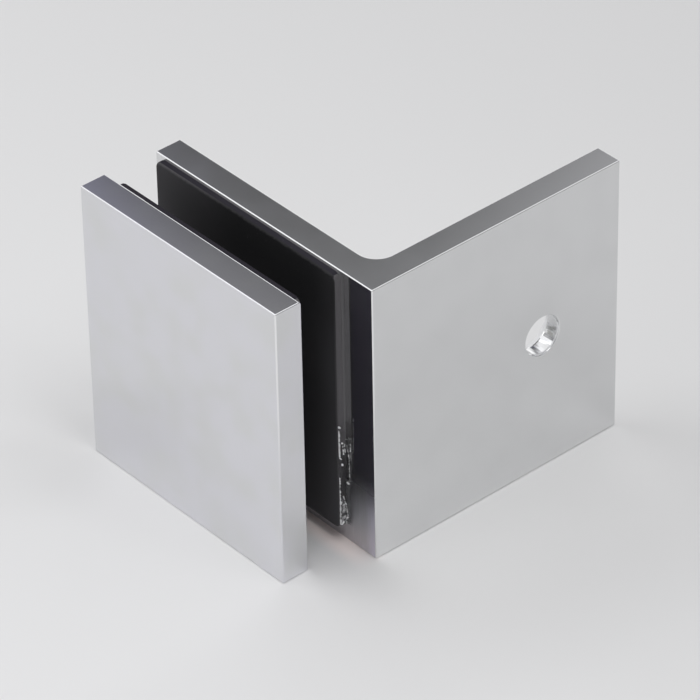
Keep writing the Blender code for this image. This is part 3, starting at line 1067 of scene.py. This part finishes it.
def make_sky():
    """Soft light from all round: pale at the horizon, dim above it, bright overhead.

    Behind the object it is graded, because the tops of the legs and of the plate mirror it there.
    """
    world = bpy.data.worlds.new("studio light")
    bpy.context.scene.world = world
    sky = Nodes(world)
    way = sky.add("ShaderNodeTexCoord", output="Generated")
    rise = sky.add("ShaderNodeSeparateXYZ", values={"Vector": way}, output="Z")
    right, _, back = view_axes(CAMERA_AZIMUTH, 0.0)
    across = sky.along(way, right)
    away = sky.along(way, -back)

    horizon = sky.range(rise, FADE_START, FADE_END, 1.0, 0.0)
    horizon = horizon * sky.range(across, 0.3, 0.8, 0.68, 0.46)

    # What the tops mirror: paler to the right, at the left end and higher up
    left_end = sky.range(across, -0.14, -0.09) * sky.range(across, -0.09, -0.03, 0.16, 0.0)
    mirrored = (
        sky.range(across, 0.0, 0.075, 0.0, 0.36)
        + sky.range(across, -0.06, 0.0, 0.06, 0.0)
        + left_end
        + sky.range(rise, 0.53, 0.66, 0.0, 0.44)
    )
    behind = sky.range(away, 0.3, 0.6)
    middle = MIDDLE_LEVEL + (mirrored - MIDDLE_LEVEL) * behind
    middle = middle * sky.range(rise, FADE_START, FADE_END)
    violet = left_end * behind * sky.range(rise, 0.44, 0.50) * sky.range(rise, 0.72, 0.66)

    overhead = sky.range(rise, 0.67, 0.77, 0.0, OVERHEAD_LEVEL)
    backdrop = sky.range(rise, 0.06, 0.12) * sky.range(rise, 0.48, 0.40)
    backdrop = backdrop * sky.range(across, 0.32, 0.22) * sky.range(away, 0.2, 0.4, 0.0, BACKDROP_LEVEL)

    grey = horizon + middle + overhead + backdrop
    blue = horizon + middle * MIDDLE_BLUE + overhead + backdrop + violet * VIOLET_BLUE
    background = world.node_tree.nodes["Background"]
    shown = sky.add("ShaderNodeCombineColor", values={"Red": grey, "Green": grey, "Blue": blue})
    sky.feed(background.inputs["Color"], shown)
    background.inputs["Strength"].default_value = 1.0


def make_stage(colours):
    """The floor, the lamps and the camera."""
    scene = bpy.context.scene
    scene.view_settings.view_transform = "Standard"
    make_sky()

    bm = bmesh.new()
    bmesh.ops.create_grid(bm, x_segments=8, y_segments=8, size=FLOOR_SIZE)
    bmesh.ops.translate(bm, vec=(0.0, 0.0, ANGLE_LOW.z - FLOOR_GAP), verts=bm.verts)
    floor = new_piece("floor", bm, [studio_floor("studio floor", colours)])

    for lamp in SOFTBOXES:
        softbox(*lamp)
    # Keeps the light that the chrome throws on the floor
    scene.cycles.blur_glossy = 0.0

    camera = bpy.data.objects.new("camera", bpy.data.cameras.new("camera"))
    scene.collection.objects.link(camera)
    camera.data.sensor_width = CAMERA_SENSOR
    camera.data.lens = CAMERA_LENS
    camera.data.clip_start, camera.data.clip_end = CAMERA_CLIP
    right, up, back = view_axes(CAMERA_AZIMUTH, CAMERA_ELEVATION, CAMERA_ROLL)
    eye = CAMERA_TARGET + back * CAMERA_DISTANCE + right * CAMERA_SIDE + up * CAMERA_RISE
    place_looking(camera, eye, right, up, back)
    scene.camera = camera


# Add-on


class MakeAngle(bpy.types.Operator):
    """Make the chrome wall angle with its three holes"""

    bl_idname = "bracket.make_angle"
    bl_label = "Wall angle"

    def execute(self, context):
        make_angle(context.scene.bracket_sizes, context.scene.bracket_colours)
        return {"FINISHED"}


class MakePlate(bpy.types.Operator):
    """Make the chrome clamp plate with its posts"""

    bl_idname = "bracket.make_plate"
    bl_label = "Clamp plate"

    def execute(self, context):
        make_plate(context.scene.bracket_sizes, context.scene.bracket_colours)
        return {"FINISHED"}


class MakePads(bpy.types.Operator):
    """Make both rubber pads with their adhesive films"""

    bl_idname = "bracket.make_pads"
    bl_label = "Pads and films"

    def execute(self, context):
        make_pads(context.scene.bracket_sizes, context.scene.bracket_colours)
        return {"FINISHED"}


class MakeLooseFilm(bpy.types.Operator):
    """Make the creased clear film beside the rear pad"""

    bl_idname = "bracket.make_loose_film"
    bl_label = "Loose film"

    def execute(self, context):
        make_loose_film(context.scene.bracket_colours)
        return {"FINISHED"}


class MakeScrews(bpy.types.Operator):
    """Make the two threaded clamp screws"""

    bl_idname = "bracket.make_screws"
    bl_label = "Clamp screws"

    def execute(self, context):
        make_screws(context.scene.bracket_sizes, context.scene.bracket_colours)
        return {"FINISHED"}


class MakeStage(bpy.types.Operator):
    """Make the pale floor, the soft light and the camera"""

    bl_idname = "bracket.make_stage"
    bl_label = "Stage"

    def execute(self, context):
        make_stage(context.scene.bracket_colours)
        return {"FINISHED"}


STEPS = (MakeAngle, MakePlate, MakePads, MakeLooseFilm, MakeScrews, MakeStage)


class BracketPanel(bpy.types.Panel):
    """Lists the pieces of the bracket"""

    bl_idname = "VIEW3D_PT_bracket"
    bl_label = "Bracket"
    bl_space_type = "VIEW_3D"
    bl_region_type = "UI"
    bl_category = "Bracket"

    def draw(self, context):
        for group in (context.scene.bracket_sizes, context.scene.bracket_colours):
            box = self.layout.box()
            for name in group.bl_rna.properties.keys():
                if name not in ("rna_type", "name"):
                    box.prop(group, name)
        for step in STEPS:
            self.layout.operator(step.bl_idname)


CLASSES = (BracketSizes, BracketColours, *STEPS, BracketPanel)


def register():
    """Adds the classes and the two groups of values."""
    for cls in CLASSES:
        bpy.utils.register_class(cls)
    bpy.types.Scene.bracket_sizes = PointerProperty(type=BracketSizes)
    bpy.types.Scene.bracket_colours = PointerProperty(type=BracketColours)


def unregister():
    """Takes them away again."""
    del bpy.types.Scene.bracket_colours
    del bpy.types.Scene.bracket_sizes
    for cls in reversed(CLASSES):
        bpy.utils.unregister_class(cls)


def main():
    """Makes every piece and the stage."""
    register()
    bpy.ops.bracket.make_angle()
    bpy.ops.bracket.make_plate()
    bpy.ops.bracket.make_pads()
    bpy.ops.bracket.make_loose_film()
    bpy.ops.bracket.make_screws()
    bpy.ops.bracket.make_stage()


if __name__ == "__main__":
    main()
